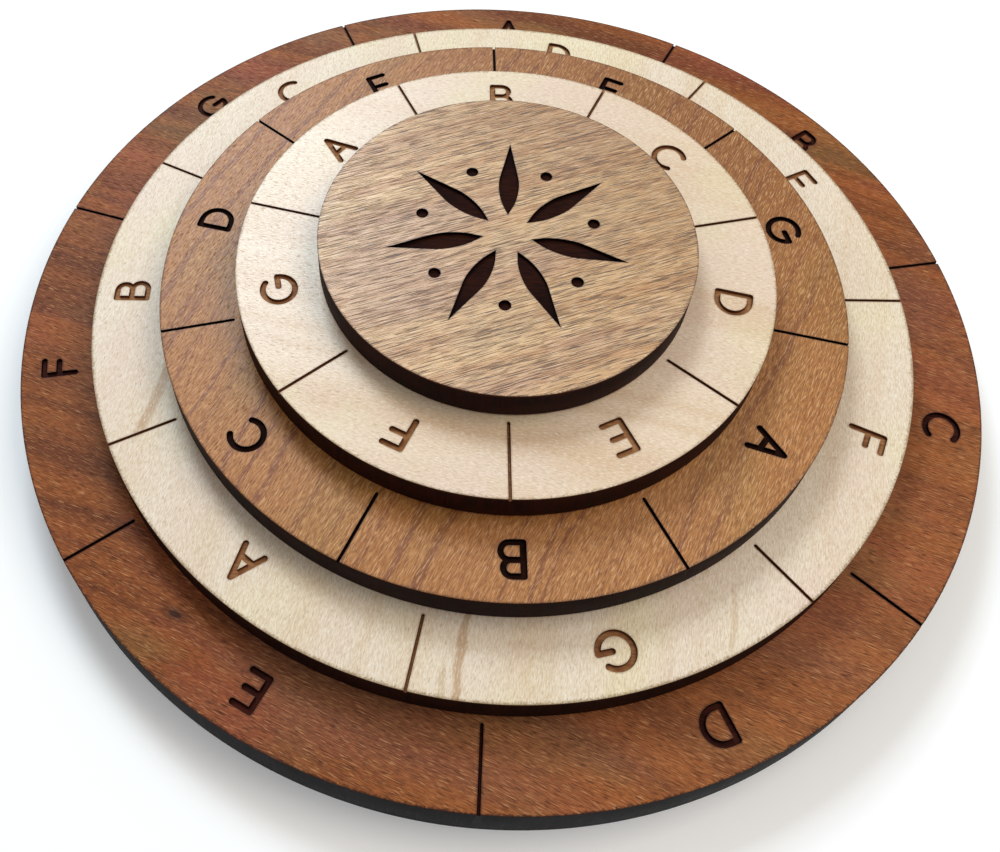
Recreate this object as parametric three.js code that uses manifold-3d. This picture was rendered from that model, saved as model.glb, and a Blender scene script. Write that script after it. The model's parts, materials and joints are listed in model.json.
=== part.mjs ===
// A flat cryptex: four concentric rings of seven letters. The base carries the outer ring, three
// wheels turn on a post above it, and a plain cap closes the stack. Millimetres, +Z up, with the
// origin on the centre line at the underside of the base.
import * as THREE from 'three';
import { mergeVertices } from 'three/addons/utils/BufferGeometryUtils.js';
import Module from 'manifold-3d';

const wasm = await Module();
wasm.setup();

// Sheet stock and disc sizes
const BASE_RADIUS = 75;
const OUTER_WHEEL_RADIUS = 63.2;
const MIDDLE_WHEEL_RADIUS = 52.1;
const INNER_WHEEL_RADIUS = 40.2;
const CAP_RADIUS = 27.8;
const BASE_THICKNESS = 8;
const WHEEL_THICKNESS = 4.8;
const CAP_THICKNESS = 4.8;
const STACK_GAP = 0.3;

// Centre post, glued into the base and the cap
const POST_RADIUS = 6.35;
const POST_SEAT_DEPTH = 1.5;
const CAP_SOCKET_DEPTH = 2.4;
const GLUE_GAP = 0.25;
const BORE_CLEARANCE = 0.25;

// Slip washers, each in a recess in the top of the disc below it
const WASHER_RADIUS = 12;
const WASHER_THICKNESS = 0.6;
const WASHER_PLAY = 0.1;
const WASHER_RECESS_CLEARANCE = 0.4;

// Countersunk wood screw, from the underside of the base into the post
const SCREW_RADIUS = 2.1;
const SCREW_HEAD_RADIUS = 4.1;
const SCREW_HEAD_HEIGHT = 2.4;
const SCREW_LENGTH = 18;
const SCREW_POINT_LENGTH = 3;
const SCREW_HEAD_SINK = 0.3;
const SCREW_CLEARANCE = 0.25;
const DRIVE_SLOT_LENGTH = 3.6;
const DRIVE_SLOT_WIDTH = 0.9;
const DRIVE_SLOT_DEPTH = 1.2;

// Laser engraving
const SECTORS = 7;
const ENGRAVE_DEPTH = 0.5;
const DIVIDER_WIDTH = 0.4;
const DIVIDER_START_GAP = 0.9;
const LETTER_HEIGHT = 5.6;
const LETTER_STROKE = 0.9;
const PETAL_TIP_RADIUS = 18;
const PETAL_WAIST_RADIUS = 8;
const PETAL_ROOT_RADIUS = 3.6;
const PETAL_HALF_WIDTH = 2;
const STUD_CIRCLE_RADIUS = 13;
const STUD_RADIUS = 0.9;

// How far each wheel stands turned from the base's letters, in degrees
const OUTER_WHEEL_TURN = -9.1;
const MIDDLE_WHEEL_TURN = -22.4;
const INNER_WHEEL_TURN = 2.6;

// Facets of round walls and of round stroke ends
const RIM_FACETS = 14 * SECTORS;
const HUB_FACETS = 36;
const SCREW_FACETS = 20;
const END_FACETS = 4;
const BOWL_FACETS = 7;
const OVERCUT = 1;

const DEG = Math.PI / 180;
const SECTOR_ANGLE = (2 * Math.PI) / SECTORS;

// Heights of the stack
const OUTER_WHEEL_Z = BASE_THICKNESS + STACK_GAP;
const MIDDLE_WHEEL_Z = OUTER_WHEEL_Z + WHEEL_THICKNESS + STACK_GAP;
const INNER_WHEEL_Z = MIDDLE_WHEEL_Z + WHEEL_THICKNESS + STACK_GAP;
const CAP_Z = INNER_WHEEL_Z + WHEEL_THICKNESS + STACK_GAP;
const RECESS_DEPTH = WASHER_THICKNESS + 2 * WASHER_PLAY - STACK_GAP;
const RECESS_RADIUS = WASHER_RADIUS + WASHER_RECESS_CLEARANCE;
const POST_BOTTOM_Z = BASE_THICKNESS - POST_SEAT_DEPTH + GLUE_GAP;
const POST_TOP_Z = CAP_Z + CAP_SOCKET_DEPTH - GLUE_GAP;

const MATERIALS = {
  walnut: { color: 0x8a5a3c, roughness: 0.55, metalness: 0 },
  maple: { color: 0xe2d3b4, roughness: 0.6, metalness: 0 },
  cherry: { color: 0xa87b50, roughness: 0.55, metalness: 0 },
  light_walnut: { color: 0xbe9672, roughness: 0.6, metalness: 0 },
  birch: { color: 0xd9c49a, roughness: 0.7, metalness: 0 },
  steel: { color: 0x9a9a98, roughness: 0.35, metalness: 1 },
  fibre: { color: 0x2c2a28, roughness: 0.8, metalness: 0 },
};

// Booleans ------------------------------------------------------------------------------------

function toSolid(geometry) {
  const bare = geometry.clone();
  bare.deleteAttribute('normal');
  bare.deleteAttribute('uv');
  const merged = mergeVertices(bare, 1e-4);
  return new wasm.Manifold(new wasm.Mesh({
    numProp: 3,
    vertProperties: new Float32Array(merged.attributes.position.array),
    triVerts: new Uint32Array(merged.index.array),
  }));
}

function toGeometry(solid) {
  const mesh = solid.getMesh();
  const geometry = new THREE.BufferGeometry();
  geometry.setAttribute('position', new THREE.BufferAttribute(mesh.vertProperties, 3));
  geometry.setIndex(new THREE.BufferAttribute(mesh.triVerts, 1));
  geometry.computeVertexNormals();
  return geometry;
}

function join(solids) {
  return solids.reduce((sum, solid) => sum.add(solid));
}

// Round bodies --------------------------------------------------------------------------------

// Turns an outline of [radius, height] points about +Z. An outline clear of the axis is closed.
function turned(outline, facets) {
  const points = outline.map(([radius, height]) => new THREE.Vector2(radius, height));
  const touchesAxis = outline[0][0] === 0;
  if (!touchesAxis) points.push(points[0].clone());
  const geometry = new THREE.LatheGeometry(points, facets);
  geometry.rotateX(Math.PI / 2);
  return geometry;
}

// A disc standing on z = 0, with a turned plug taken out of its middle
function boredDisc(radius, thickness, plug) {
  const disc = new THREE.CylinderGeometry(radius, radius, thickness, RIM_FACETS);
  disc.rotateX(Math.PI / 2);
  disc.translate(0, 0, thickness / 2);
  return toSolid(disc).subtract(toSolid(turned(plug, HUB_FACETS)));
}

// Engraved strokes ----------------------------------------------------------------------------

function arcPoints(centreX, centreY, radius, fromDegrees, toDegrees) {
  return Array.from({ length: BOWL_FACETS + 1 }, (_, i) => {
    const angle = (fromDegrees + ((toDegrees - fromDegrees) * i) / BOWL_FACETS) * DEG;
    return [centreX + radius * Math.cos(angle), centreY + radius * Math.sin(angle)];
  });
}

// Each letter is a list of centre lines in a box one unit high
const STEM_LEFT = -0.3;
const LETTERS = {
  A: [
    [[-0.37, -0.5], [0, 0.5]],
    [[0, 0.5], [0.37, -0.5]],
    [[-0.24, -0.16], [0.24, -0.16]],
  ],
  B: [
    [[STEM_LEFT, -0.5], [STEM_LEFT, 0.5]],
    [[STEM_LEFT, 0.5], ...arcPoints(0.03, 0.26, 0.24, 90, -90), [STEM_LEFT, 0.02]],
    [[STEM_LEFT, 0.02], ...arcPoints(0.07, -0.24, 0.26, 90, -90), [STEM_LEFT, -0.5]],
  ],
  C: [arcPoints(0.06, 0, 0.5, 50, 310)],
  D: [
    [[STEM_LEFT, -0.5], [STEM_LEFT, 0.5]],
    [[STEM_LEFT, 0.5], ...arcPoints(-0.1, 0, 0.5, 90, -90), [STEM_LEFT, -0.5]],
  ],
  E: [
    [[STEM_LEFT, -0.5], [STEM_LEFT, 0.5]],
    [[STEM_LEFT, 0.5], [0.27, 0.5]],
    [[STEM_LEFT, 0], [0.2, 0]],
    [[STEM_LEFT, -0.5], [0.27, -0.5]],
  ],
  F: [
    [[STEM_LEFT, -0.5], [STEM_LEFT, 0.5]],
    [[STEM_LEFT, 0.5], [0.27, 0.5]],
    [[STEM_LEFT, 0.02], [0.2, 0.02]],
  ],
  G: [
    arcPoints(0, 0, 0.5, 50, 360),
    [[0.5, 0], [0.1, 0]],
  ],
};
const LETTER_NAMES = Object.keys(LETTERS);

// The outline of a stroke of even width with round ends, along a centre line
function strokeShape(line, width) {
  const half = width / 2;
  const at = line.map(([x, y]) => new THREE.Vector2(x, y));
  const along = (i) => at[i + 1].clone().sub(at[i]).normalize();
  const last = at.length - 1;
  const offset = (i, side) => {
    const before = along(Math.max(i - 1, 0));
    const after = along(Math.min(i, last - 1));
    const mean = before.clone().add(after).normalize();
    const reach = half / mean.dot(before);
    return new THREE.Vector2(at[i].x - side * reach * mean.y, at[i].y + side * reach * mean.x);
  };
  const end = (i, direction) => {
    const start = Math.atan2(direction.y, direction.x) + Math.PI / 2;
    return Array.from({ length: END_FACETS - 1 }, (_, k) => {
      const angle = start - (Math.PI * (k + 1)) / END_FACETS;
      return new THREE.Vector2(at[i].x + half * Math.cos(angle), at[i].y + half * Math.sin(angle));
    });
  };
  const indices = at.map((_, i) => i);
  return new THREE.Shape([
    ...indices.map((i) => offset(i, 1)),
    ...end(last, along(last - 1)),
    ...indices.reverse().map((i) => offset(i, -1)),
    ...end(0, along(0).negate()),
  ]);
}

// A cutter that sinks a flat shape to the engraving depth below a face at the given height
function engraved(shape, faceZ) {
  const geometry = new THREE.ExtrudeGeometry(shape, {
    depth: ENGRAVE_DEPTH + OVERCUT,
    bevelEnabled: false,
    curveSegments: 2 * END_FACETS,
  });
  geometry.translate(0, 0, faceZ - ENGRAVE_DEPTH);
  return geometry;
}

function letterCutter(name, faceZ) {
  const scale = LETTER_HEIGHT - LETTER_STROKE;
  return join(LETTERS[name].map((line) => {
    const sized = line.map(([x, y]) => [x * scale, y * scale]);
    return toSolid(engraved(strokeShape(sized, LETTER_STROKE), faceZ));
  }));
}

function dividerCutter(startRadius, rimRadius, faceZ) {
  const length = rimRadius + OVERCUT - startRadius;
  const depth = ENGRAVE_DEPTH + OVERCUT;
  const geometry = new THREE.BoxGeometry(length, DIVIDER_WIDTH, depth);
  geometry.translate(startRadius + length / 2, 0, faceZ - ENGRAVE_DEPTH + depth / 2);
  return toSolid(geometry);
}

// The dividers and letters of one ring, letter tops outwards, the first letter at the given turn
function ringCutters(faceZ, rimRadius, coveredRadius, turnDegrees, firstLetter) {
  const letterRadius = (rimRadius + coveredRadius) / 2;
  const cutters = [];
  for (let i = 0; i < SECTORS; i += 1) {
    const turn = turnDegrees * DEG - i * SECTOR_ANGLE;
    const name = LETTER_NAMES[(firstLetter + i) % LETTER_NAMES.length];
    const letter = letterCutter(name, faceZ).translate([0, letterRadius, 0]);
    cutters.push(letter.rotate([0, 0, turn / DEG]));
    const divider = dividerCutter(coveredRadius + DIVIDER_START_GAP, rimRadius, faceZ);
    cutters.push(divider.rotate([0, 0, 90 + (turn + SECTOR_ANGLE / 2) / DEG]));
  }
  return cutters;
}

// Discs ---------------------------------------------------------------------------------------

function baseDisc() {
  const shankHole = SCREW_RADIUS + SCREW_CLEARANCE;
  const headHole = SCREW_HEAD_RADIUS + SCREW_CLEARANCE;
  const seat = POST_RADIUS + GLUE_GAP;
  const seatZ = BASE_THICKNESS - POST_SEAT_DEPTH;
  const recessZ = BASE_THICKNESS - RECESS_DEPTH;
  const blank = boredDisc(BASE_RADIUS, BASE_THICKNESS, [
    [0, -OVERCUT],
    [headHole, -OVERCUT],
    [headHole, SCREW_HEAD_SINK],
    [shankHole, SCREW_HEAD_SINK + SCREW_HEAD_HEIGHT],
    [shankHole, seatZ],
    [seat, seatZ],
    [seat, recessZ],
    [RECESS_RADIUS, recessZ],
    [RECESS_RADIUS, BASE_THICKNESS + OVERCUT],
    [0, BASE_THICKNESS + OVERCUT],
  ]);
  const cutters = ringCutters(BASE_THICKNESS, BASE_RADIUS, OUTER_WHEEL_RADIUS, 0, 0);
  return toGeometry(blank.subtract(join(cutters)));
}

function letterWheel(rimRadius, coveredRadius, turnDegrees, firstLetter) {
  const bore = POST_RADIUS + BORE_CLEARANCE;
  const recessZ = WHEEL_THICKNESS - RECESS_DEPTH;
  const blank = boredDisc(rimRadius, WHEEL_THICKNESS, [
    [0, -OVERCUT],
    [bore, -OVERCUT],
    [bore, recessZ],
    [RECESS_RADIUS, recessZ],
    [RECESS_RADIUS, WHEEL_THICKNESS + OVERCUT],
    [0, WHEEL_THICKNESS + OVERCUT],
  ]);
  const cutters = ringCutters(WHEEL_THICKNESS, rimRadius, coveredRadius, turnDegrees, firstLetter);
  return toGeometry(blank.subtract(join(cutters)));
}

function petalShape() {
  return new THREE.Shape([
    new THREE.Vector2(0, PETAL_ROOT_RADIUS),
    new THREE.Vector2(PETAL_HALF_WIDTH, PETAL_WAIST_RADIUS),
    new THREE.Vector2(0, PETAL_TIP_RADIUS),
    new THREE.Vector2(-PETAL_HALF_WIDTH, PETAL_WAIST_RADIUS),
  ]);
}

function studShape() {
  const shape = new THREE.Shape();
  shape.absarc(0, STUD_CIRCLE_RADIUS, STUD_RADIUS, 0, 2 * Math.PI);
  return shape;
}

function capDisc() {
  const socket = POST_RADIUS + GLUE_GAP;
  const blank = boredDisc(CAP_RADIUS, CAP_THICKNESS, [
    [0, -OVERCUT],
    [socket, -OVERCUT],
    [socket, CAP_SOCKET_DEPTH],
    [0, CAP_SOCKET_DEPTH],
  ]);
  const petal = toSolid(engraved(petalShape(), CAP_THICKNESS));
  const stud = toSolid(engraved(studShape(), CAP_THICKNESS));
  const cutters = [];
  for (let i = 0; i < SECTORS; i += 1) {
    cutters.push(petal.rotate([0, 0, (i * SECTOR_ANGLE) / DEG]));
    cutters.push(stud.rotate([0, 0, ((i + 0.5) * SECTOR_ANGLE) / DEG]));
  }
  return toGeometry(blank.subtract(join(cutters)));
}

// Hub -----------------------------------------------------------------------------------------

function hubPost() {
  const pilot = SCREW_RADIUS + SCREW_CLEARANCE;
  const length = POST_TOP_Z - POST_BOTTOM_Z;
  const pilotDepth = SCREW_HEAD_SINK + SCREW_LENGTH + SCREW_CLEARANCE - POST_BOTTOM_Z;
  return turned([
    [0, pilotDepth],
    [pilot, pilotDepth],
    [pilot, 0],
    [POST_RADIUS, 0],
    [POST_RADIUS, length],
    [0, length],
  ], HUB_FACETS);
}

function slipWasher() {
  const bore = POST_RADIUS + BORE_CLEARANCE;
  return turned([
    [bore, 0],
    [WASHER_RADIUS, 0],
    [WASHER_RADIUS, WASHER_THICKNESS],
    [bore, WASHER_THICKNESS],
  ], HUB_FACETS);
}

function hubScrew() {
  const blank = toSolid(turned([
    [0, 0],
    [SCREW_HEAD_RADIUS, 0],
    [SCREW_RADIUS, SCREW_HEAD_HEIGHT],
    [SCREW_RADIUS, SCREW_LENGTH - SCREW_POINT_LENGTH],
    [0, SCREW_LENGTH],
  ], SCREW_FACETS));
  const depth = DRIVE_SLOT_DEPTH + OVERCUT;
  const slots = [
    new THREE.BoxGeometry(DRIVE_SLOT_LENGTH, DRIVE_SLOT_WIDTH, depth),
    new THREE.BoxGeometry(DRIVE_SLOT_WIDTH, DRIVE_SLOT_LENGTH, depth),
  ].map((slot) => toSolid(slot.translate(0, 0, DRIVE_SLOT_DEPTH - depth / 2)));
  return toGeometry(blank.subtract(join(slots)));
}

// Assembly ------------------------------------------------------------------------------------

const cryptex = new THREE.Group();

function place(name, geometry, material, z) {
  const mesh = new THREE.Mesh(geometry, new THREE.MeshStandardMaterial(MATERIALS[material]));
  mesh.name = name;
  mesh.position.z = z;
  cryptex.add(mesh);
}

place('base_disc', baseDisc(), 'walnut', 0);
place('hub_screw', hubScrew(), 'steel', SCREW_HEAD_SINK);
place('hub_post', hubPost(), 'birch', POST_BOTTOM_Z);

const WHEELS = [
  ['outer_wheel', OUTER_WHEEL_RADIUS, MIDDLE_WHEEL_RADIUS, OUTER_WHEEL_TURN, 3, 'maple', OUTER_WHEEL_Z],
  ['middle_wheel', MIDDLE_WHEEL_RADIUS, INNER_WHEEL_RADIUS, MIDDLE_WHEEL_TURN, 5, 'cherry', MIDDLE_WHEEL_Z],
  ['inner_wheel', INNER_WHEEL_RADIUS, CAP_RADIUS, INNER_WHEEL_TURN, 1, 'maple', INNER_WHEEL_Z],
];
for (const [name, rim, covered, turn, firstLetter, material, z] of WHEELS) {
  place(name, letterWheel(rim, covered, turn, firstLetter), material, z);
}
place('cap_disc', capDisc(), 'light_walnut', CAP_Z);

const WASHERS = [
  ['slip_washer_outer', OUTER_WHEEL_Z],
  ['slip_washer_middle', MIDDLE_WHEEL_Z],
  ['slip_washer_inner', INNER_WHEEL_Z],
  ['slip_washer_cap', CAP_Z],
];
for (const [name, discAboveZ] of WASHERS) {
  place(name, slipWasher(), 'fibre', discAboveZ - WASHER_PLAY - WASHER_THICKNESS);
}

export default cryptex;
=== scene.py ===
# %% [markdown]
# # A flat cryptex
# Five round wooden discs lie on one another. The base and three wheels carry rings of seven
# letters, and the wheels turn on a post that the top disc, a plain cap, hides. The discs were
# cut and engraved by laser, so their edges are straight, dark and charred, and the letters are
# shallow pockets with a scorched floor.
#
# The frame is the finished CAD model. Each piece is made again with a finer mesh in the same
# place as the CAD piece that it stands for, which is then hidden.

# %% Load the frame
import json
import math
import bmesh
import bpy
from mathutils import Matrix, Vector
from mathutils.kdtree import KDTree

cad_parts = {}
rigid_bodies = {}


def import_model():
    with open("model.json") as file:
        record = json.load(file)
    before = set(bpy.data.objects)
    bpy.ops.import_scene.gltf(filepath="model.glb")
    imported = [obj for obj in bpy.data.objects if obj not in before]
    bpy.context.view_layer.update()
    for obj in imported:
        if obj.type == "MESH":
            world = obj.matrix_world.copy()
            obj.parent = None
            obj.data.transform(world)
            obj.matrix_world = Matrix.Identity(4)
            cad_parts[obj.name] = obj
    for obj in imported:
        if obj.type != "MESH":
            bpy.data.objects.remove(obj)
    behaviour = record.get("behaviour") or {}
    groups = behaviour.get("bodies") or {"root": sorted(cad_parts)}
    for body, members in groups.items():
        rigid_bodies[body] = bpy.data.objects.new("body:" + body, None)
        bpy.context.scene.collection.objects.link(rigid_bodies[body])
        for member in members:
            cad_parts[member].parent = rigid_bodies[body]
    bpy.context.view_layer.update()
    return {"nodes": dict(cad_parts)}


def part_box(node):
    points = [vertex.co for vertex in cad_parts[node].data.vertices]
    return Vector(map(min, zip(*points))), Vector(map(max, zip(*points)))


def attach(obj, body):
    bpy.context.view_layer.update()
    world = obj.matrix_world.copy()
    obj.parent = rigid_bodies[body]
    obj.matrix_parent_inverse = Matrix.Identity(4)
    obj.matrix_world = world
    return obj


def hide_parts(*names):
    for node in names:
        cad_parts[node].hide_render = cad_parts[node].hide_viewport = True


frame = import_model()
MM = 0.001
print("CAD nodes:", ", ".join(sorted(frame["nodes"])))

# %% [markdown]
# ## The camera
# It looks down from the front, about 20 cm away, with a wide lens. That is why the near letters
# look so much larger than the far ones. Its sensor is shifted a little, which slides the picture
# without turning the camera.

# %% Camera
CAMERA_PLACE = Vector((-7.0, -105.9, 155.5)) * MM
CAMERA_PITCH = math.radians(36.18)
CAMERA_YAW = math.radians(3.43)
CAMERA_ROLL = math.radians(1.02)

bpy.ops.object.camera_add()
camera = bpy.context.object
camera.data.sensor_width = 36
camera.data.lens = 40.56
camera.data.shift_x = 0.085
camera.data.shift_y = -0.126
camera.data.clip_start = 0.005
camera.matrix_world = (
    Matrix.Translation(CAMERA_PLACE)
    @ Matrix.Rotation(CAMERA_YAW, 4, "Z")
    @ Matrix.Rotation(CAMERA_PITCH, 4, "X")
    @ Matrix.Rotation(CAMERA_ROLL, 4, "Z")
)
bpy.context.scene.camera = camera
print("camera", round(CAMERA_PLACE.length * 1000), "mm from the middle of the base")

# %% [markdown]
# ## Lamps
# An even sky and three soft lamps. One stands behind on the left, in just the direction
# that the near left of each top mirrors towards the camera, so it gives the wood there its pale,
# cool sheen. The main light hangs high on the right and is warmer. The last lamp is low on the
# right in front and picks out the charred edges that face it.

# %% Soft lamps
def aim(lamp, target):
    """Turns a lamp so that it shines at a point."""
    lamp.rotation_euler = (target - lamp.location).to_track_quat("-Z", "Y").to_euler()


def soft_lamp(name, place, size, radiance, colour):
    """A square lamp as bright as a window: radiance 1 is a white wall in this scene's light."""
    bpy.ops.object.light_add(type="AREA", location=Vector(place) * MM)
    lamp = bpy.context.object
    lamp.name = name
    lamp.data.size = size * MM
    lamp.data.energy = radiance * math.pi * (size * MM) ** 2
    lamp.data.color = colour
    aim(lamp, Vector((0, 0, 15)) * MM)
    print("lamp", name, round(lamp.data.energy, 2), "W")


soft_lamp("sheen_lamp", (-200, 470, 530), 240, 17.0, (0.76, 0.90, 1.0))
soft_lamp("main_lamp", (330, 60, 600), 400, 3.5, (1.0, 0.92, 0.80))
soft_lamp("edge_lamp", (480, -420, 150), 260, 1.3, (0.95, 0.97, 1.0))

sky = bpy.data.worlds.new("sky")
sky.use_nodes = True
sky.node_tree.nodes["Background"].inputs["Color"].default_value = (1, 1, 1, 1)
sky.node_tree.nodes["Background"].inputs["Strength"].default_value = 0.38
bpy.context.scene.world = sky
bpy.context.scene.view_settings.view_transform = "Standard"

# %% [markdown]
# ## Shader maths as Python
# A material is a net of nodes. Wiring each Math node by hand hides what is being worked out, so
# a small class stands for one output of a node, and Python's own operators add the Math nodes.

# %% Outputs that can be added and multiplied
def plug(tree, socket, value):
    """Gives a socket either a link or a plain value."""
    if isinstance(value, Wire):
        tree.links.new(value.socket, socket)
    else:
        socket.default_value = value


class Wire:
    """One output of a node."""

    def __init__(self, tree, socket):
        self.tree = tree
        self.socket = socket

    def math(self, operation, first, second):
        node = self.tree.nodes.new("ShaderNodeMath")
        node.operation = operation
        plug(self.tree, node.inputs[0], first)
        plug(self.tree, node.inputs[1], second)
        return Wire(self.tree, node.outputs[0])

    def __add__(self, other):
        return self.math("ADD", self, other)

    def __sub__(self, other):
        return self.math("SUBTRACT", self, other)

    def __rsub__(self, other):
        return self.math("SUBTRACT", other, self)

    def __mul__(self, other):
        return self.math("MULTIPLY", self, other)

    def __pow__(self, other):
        return self.math("POWER", self, other)

    def __abs__(self):
        return self.math("ABSOLUTE", self, 0.0)

    __radd__ = __add__
    __rmul__ = __mul__


# %% [markdown]
# A finish is one material. It has one method that adds any node, and short forms of the nodes
# that wood needs again and again: stretched noise, a smooth threshold and a mix of two colours.

# %% A material with a few short forms
class Finish:
    """A material whose nodes are added by name."""

    def __init__(self, name):
        self.material = bpy.data.materials.new(name)
        self.material.use_nodes = True
        self.tree = self.material.node_tree
        self.shader = self.tree.nodes["Principled BSDF"]

    def node(self, kind, settings, sockets, output=0):
        node = self.tree.nodes.new("ShaderNode" + kind)
        for key, value in settings.items():
            setattr(node, key, value)
        for key, value in sockets.items():
            plug(self.tree, node.inputs[key], value)
        return Wire(self.tree, node.outputs[output])

    def millimetres(self, turn=(0, 0, 0)):
        """Object coordinates in mm, turned by angles in degrees."""
        place = self.node("TexCoord", {}, {}, "Object")
        sockets = {"Vector": place, "Scale": (1000, 1000, 1000)}
        sockets["Rotation"] = [math.radians(angle) for angle in turn]
        return self.node("Mapping", {"vector_type": "POINT"}, sockets)

    def parts(self, vector):
        split = self.node("SeparateXYZ", {}, {"Vector": vector}).socket.node
        return [Wire(self.tree, output) for output in split.outputs]

    def vector(self, x, y, z):
        return self.node("CombineXYZ", {}, {"X": x, "Y": y, "Z": z})

    def noise(self, vector, stretch, detail=2.0, roughness=0.5, shift=0.0):
        """Noise whose patches are 1 / stretch mm long in each direction."""
        sockets = {"Vector": vector, "Scale": stretch, "Location": (shift, 3 * shift, shift)}
        place = self.node("Mapping", {"vector_type": "POINT"}, sockets)
        sockets = {"Vector": place, "Scale": 1.0, "Detail": detail, "Roughness": roughness}
        return self.node("TexNoise", {}, sockets)

    def rings(self, distance, detail, roughness):
        sockets = {"W": distance, "Scale": 1.0, "Detail": detail, "Roughness": roughness}
        return self.node("TexNoise", {"noise_dimensions": "1D"}, sockets)

    def rise(self, value, low, high):
        """0 below low, 1 above high and smooth between them."""
        sockets = {"Value": value, "From Min": low, "From Max": high}
        return self.node("MapRange", {"interpolation_type": "SMOOTHSTEP"}, sockets)

    def mix(self, share, first, second):
        return self.node("Mix", {"data_type": "RGBA"}, {0: share, 6: first, 7: second}, 2)

    def mark(self, name):
        """A number that the mesh carries on its points."""
        return self.node("Attribute", {"attribute_name": name}, {}, "Fac")

    def bump(self, height, distance_mm, strength):
        sockets = {"Height": height, "Distance": distance_mm * MM, "Strength": strength}
        return self.node("Bump", {}, sockets)

    def paint(self, colour, roughness, normal):
        plug(self.tree, self.shader.inputs["Base Color"], colour)
        plug(self.tree, self.shader.inputs["Roughness"], roughness)
        plug(self.tree, self.shader.inputs["Normal"], normal)


def tint(code):
    """A colour from a paint chart, such as "c8a070", as the linear values that shaders use."""
    parts = [int(code[i:i + 2], 16) / 255 for i in (0, 2, 4)]
    return tuple(p / 12.92 if p <= 0.04045 else ((p + 0.055) / 1.055) ** 2.4 for p in parts) + (1,)


# %% [markdown]
# ## The floor
# Matt white card, lit a little from below as on a light table. It's a plain plane with a faint
# tooth; it isn't part of the object.

# %% White card
bpy.ops.object.select_all(action="DESELECT")
bpy.ops.mesh.primitive_plane_add(size=12)
ground = bpy.context.object
ground.name = "ground"
card = Finish("white_card")
tooth = card.noise(card.millimetres(), (0.8, 0.8, 0.8), 3.0, 0.6)
paper = card.mix(tooth * 0.3, tint("fafafa"), tint("f4f4f4"))
card.paint(paper, 0.9 + tooth * 0.05, card.bump(tooth, 0.05, 0.1))
card.shader.inputs["Emission Color"].default_value = (1, 1, 1, 1)
card.shader.inputs["Emission Strength"].default_value = 0.14
ground.data.materials.append(card.material)

# %% [markdown]
# ## Sawn wood
# All woods are made the same way, and differ in their numbers. First come the growth rings:
# where a board cuts them lengthwise they show as long bands, so the rings are noise along one
# line across the grain, and that line is bent a little as a tree is. On them lie wide patches of
# another tone and narrow mineral streaks. On some discs painted light and shade lies over them as
# well: a colour that grows towards one side of the disc and makes that side look lit or shaded.
# Then come the fibres, which are noise drawn out along the grain, bright flecks, and last the
# pores, the same noise cut off so high that only short dashes are left.
#
# The laser adds its own marks. The mesh carries edge_mm, the distance to the nearest engraved
# line, and from it comes a faint scorched halo. Smoke also stains a narrow uneven band along
# the rim, which is measured from the middle of the disc.

# %% Growth rings, patches, fibres and pores
def grain(make, wood):
    """The board's own coordinates, its colour, its fibres and its pores."""
    place = make.millimetres(wood.get("stand", (0, 0, -wood["turn"])))
    along, across, up = make.parts(place)
    wander = make.noise(place, (0.011, 0.035, 0.02), 3.0, 0.5, wood["seed"])
    ripple = make.noise(place, (0.10, 0.16, 0.1), 2.0, 0.5, wood["seed"] + 5)
    bent = across + wander * wood["wander"] + ripple * wood["ripple"] + along * along * wood["bow"]
    growth = make.rings(bent * wood["rings_per_mm"] + wood["seed"], 3.0, 0.65)

    colour = make.mix(make.rise(growth, *wood["ring_edge"]), tint(wood["early"]), tint(wood["late"]))
    for code, stretch, share, low, high in wood["patches"]:
        patch = make.noise(place, stretch, 2.0, 0.5, wood["seed"] + 11 + 7 * share)
        colour = make.mix(make.rise(patch, low, high) * share, colour, tint(code))
    # Painted light and shade: a colour that grows towards one side of the disc, so that side looks lit or
    # shaded.
    if "painted_light_and_shade" in wood:
        code, direction, low, high, share = wood["painted_light_and_shade"]
        x, y, _ = make.parts(make.millimetres())
        side = x * math.cos(math.radians(direction)) + y * math.sin(math.radians(direction))
        colour = make.mix(make.rise(side + (wander - 0.5) * 30, low, high) * share, colour, tint(code))
    for code, offset, half_width, start, end, share in wood["streaks"]:
        middle = across + (ripple - 0.5) * 3 - offset
        line = 1 - make.rise(abs(middle), half_width * 0.4, half_width)
        ends = make.rise(along, start, start + 3) * (1 - make.rise(along, end - 3, end))
        colour = make.mix(line * ends * share, colour, tint(code))

    fine = make.vector(along, across + wander * wood["wander"] * 0.35, up)
    fibre = make.noise(fine, wood["fibre"], 4.0, 0.6, 2.0)
    dark = make.rise(fibre, 0.42, 0.66) * wood["fibre_dark"]
    glint = (1 - make.rise(fibre, 0.30, 0.50)) * wood["fibre_light"]
    colour = make.mix(dark, colour, tint(wood["dark"]))
    colour = make.mix(glint, colour, tint(wood["light"]))
    stretch, low, share, code = wood["fleck"]
    fleck = make.noise(fine, stretch, 1.5, 0.5, 13.0)
    fleck = make.rise(fleck, low, low + 0.07)
    colour = make.mix(fleck * share, colour, tint(code))
    dash = make.noise(fine, wood["pore"], 1.0, 0.5, 9.0)
    crowd = make.noise(fine, (0.03, 0.3, 0.3), 2.0, 0.5, 4.0)
    pore = make.rise(dash + crowd * 0.12, wood["pore_edge"], wood["pore_edge"] + 0.045)
    colour = make.mix(pore * wood["pore_share"], colour, tint(wood["pore_tint"]))
    return place, colour, fibre + fleck * 0.4, pore


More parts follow.
